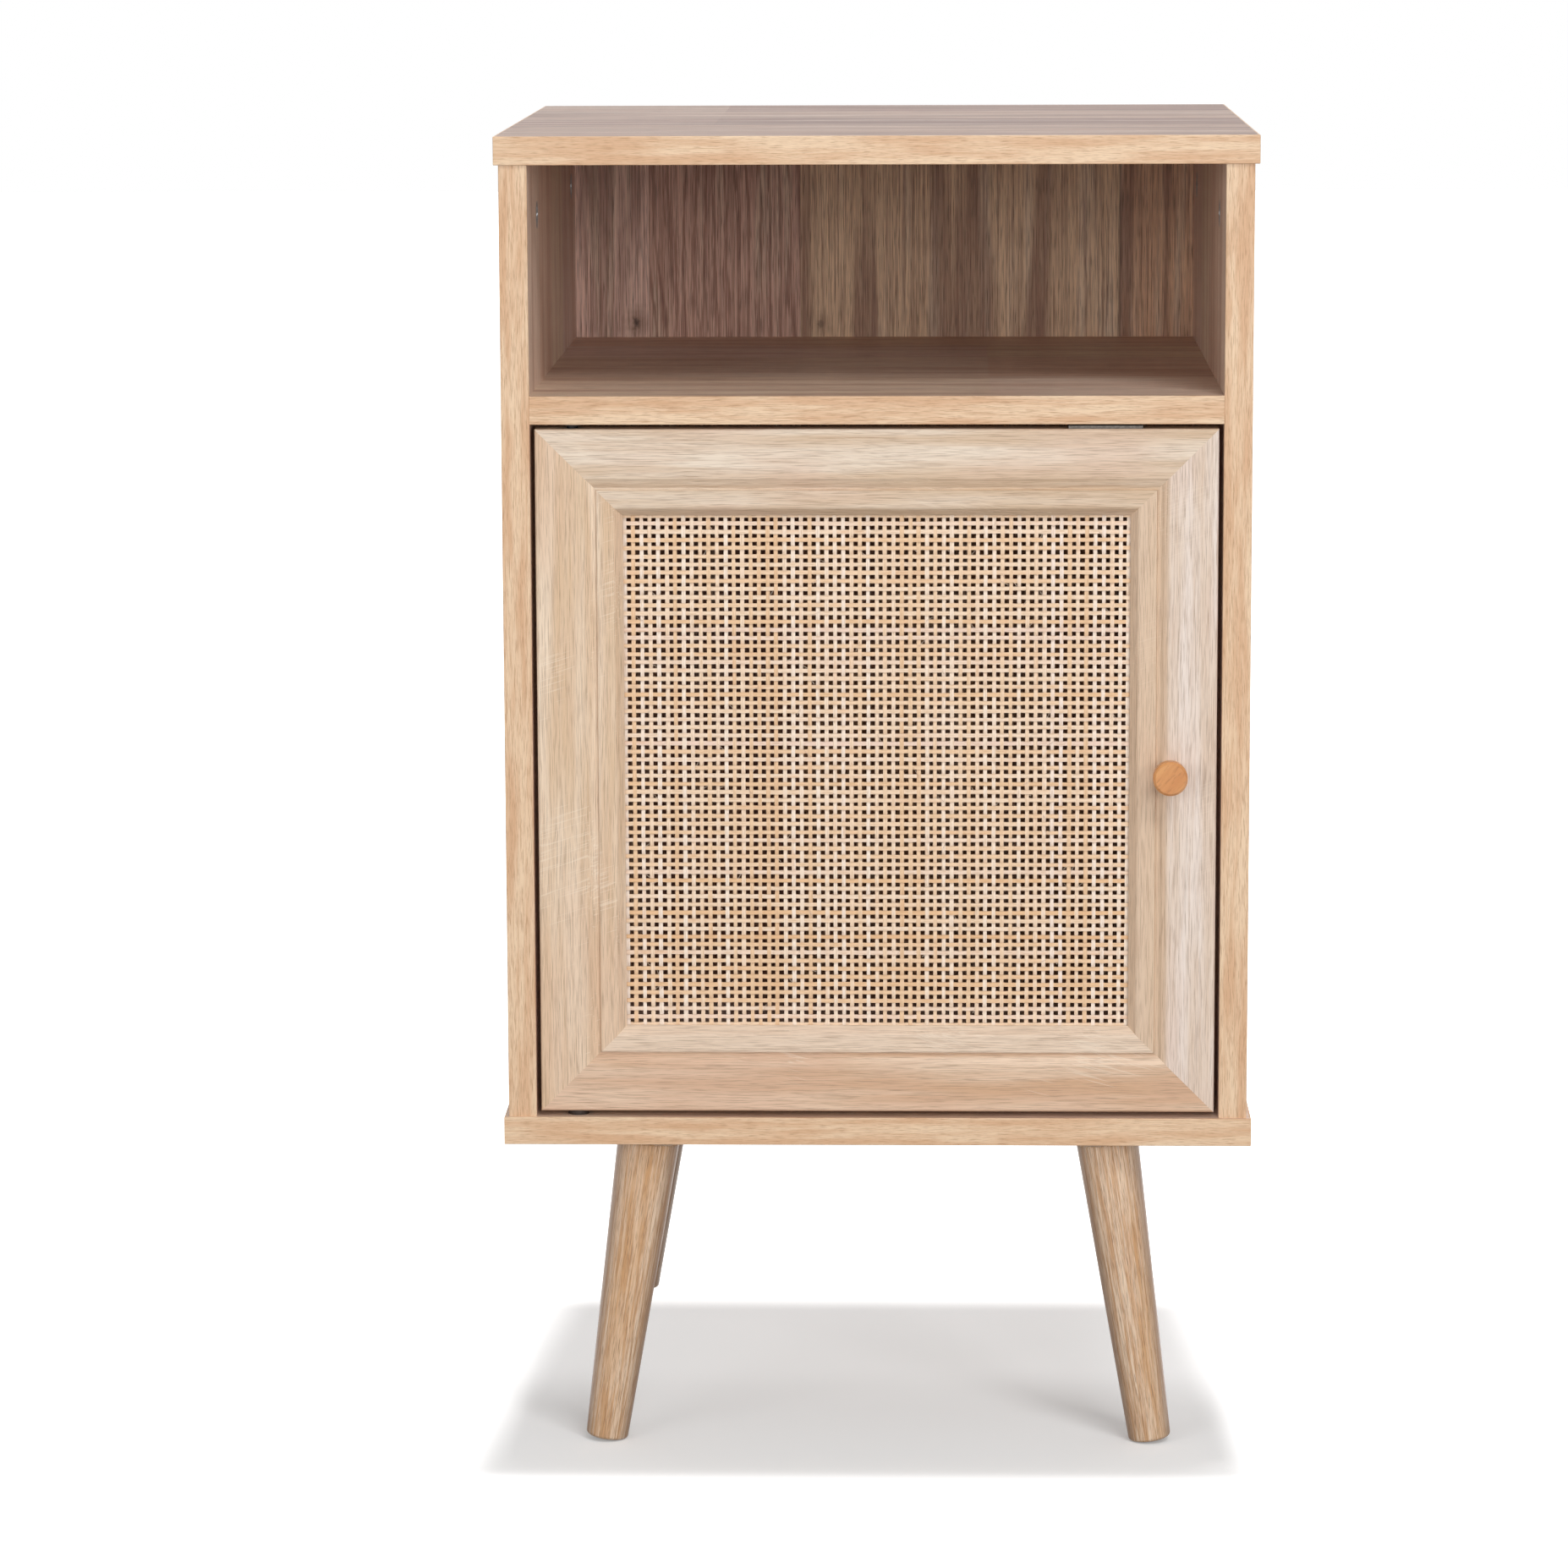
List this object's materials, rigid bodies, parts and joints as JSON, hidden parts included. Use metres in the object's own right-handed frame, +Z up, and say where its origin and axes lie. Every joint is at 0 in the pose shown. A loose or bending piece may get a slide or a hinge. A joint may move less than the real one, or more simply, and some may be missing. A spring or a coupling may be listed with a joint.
{
  "type": "storage side table with door",
  "caption": "Narrow wooden side table with an open niche over a cupboard, a mitred cane door on pivot pins with a round knob, and tapered splayed legs.",
  "frame": {"origin": "on the floor, under the middle of the top board", "axes": "+X to the right as seen from the front, +Y to the back, +Z up"},
  "size_m": [0.4, 0.406, 0.708],
  "materials": {
    "oak_board": "satin melamine with printed oak grain",
    "edge_band": "satin printed edge banding",
    "back_board": "satin printed oak grain",
    "door_oak": "satin washed oak",
    "cane": "matt woven cane",
    "beech_knob": "satin lacquer",
    "leg_oak": "satin lacquer",
    "dowel_wood": "raw beech",
    "bead_wood": "satin washed oak",
    "zinc_cam": "die-cast zinc",
    "steel": "zinc plated",
    "nylon": "natural nylon",
    "catch_plastic": "moulded",
    "magnet": "sintered ferrite"
  },
  "bodies": {
    "cabinet": {"top_panel": "oak_board", "top_edge_band": "edge_band", "bottom_panel": "oak_board", "bottom_edge_band": "edge_band", "left_side_panel": "oak_board", "left_side_edge_band": "edge_band", "right_side_panel": "oak_board", "right_side_edge_band": "edge_band", "shelf_panel": "oak_board", "shelf_edge_band": "edge_band", "back_panel": "back_board", "back_panel_nails": "steel", "cam_locks": "zinc_cam", "cam_bolts": "steel", "wood_dowels": "dowel_wood", "front_left_leg": "leg_oak", "front_right_leg": "leg_oak", "rear_left_leg": "leg_oak", "rear_right_leg": "leg_oak", "front_left_leg_plate": "steel", "front_right_leg_plate": "steel", "rear_left_leg_plate": "steel", "rear_right_leg_plate": "steel", "leg_hanger_bolts": "steel", "leg_plate_screws": "steel", "catch_case": "catch_plastic", "catch_magnet": "magnet", "catch_pole_plates": "steel", "catch_screws": "steel", "upper_pivot_bush": "nylon", "lower_pivot_bush": "nylon"},
    "door": {"door_left_stile": "door_oak", "door_right_stile": "door_oak", "door_top_rail": "door_oak", "door_bottom_rail": "door_oak", "mitre_dowels": "dowel_wood", "cane_panel": "cane", "top_cane_bead": "bead_wood", "bottom_cane_bead": "bead_wood", "left_cane_bead": "bead_wood", "right_cane_bead": "bead_wood", "bead_brads": "steel", "door_knob": "beech_knob", "knob_screw": "steel", "strike_plate": "steel", "strike_screw": "steel", "upper_pivot_pin": "steel", "lower_pivot_pin": "steel", "pivot_washer": "nylon"}
  },
  "joints": [
    {"name": "door_swing", "type": "hinge", "parent": "cabinet", "child": "door", "pos_m": [-0.1605, -0.184, 0.371], "axis": [0, 0, -1], "range_deg": [0, 110]}
  ]
}
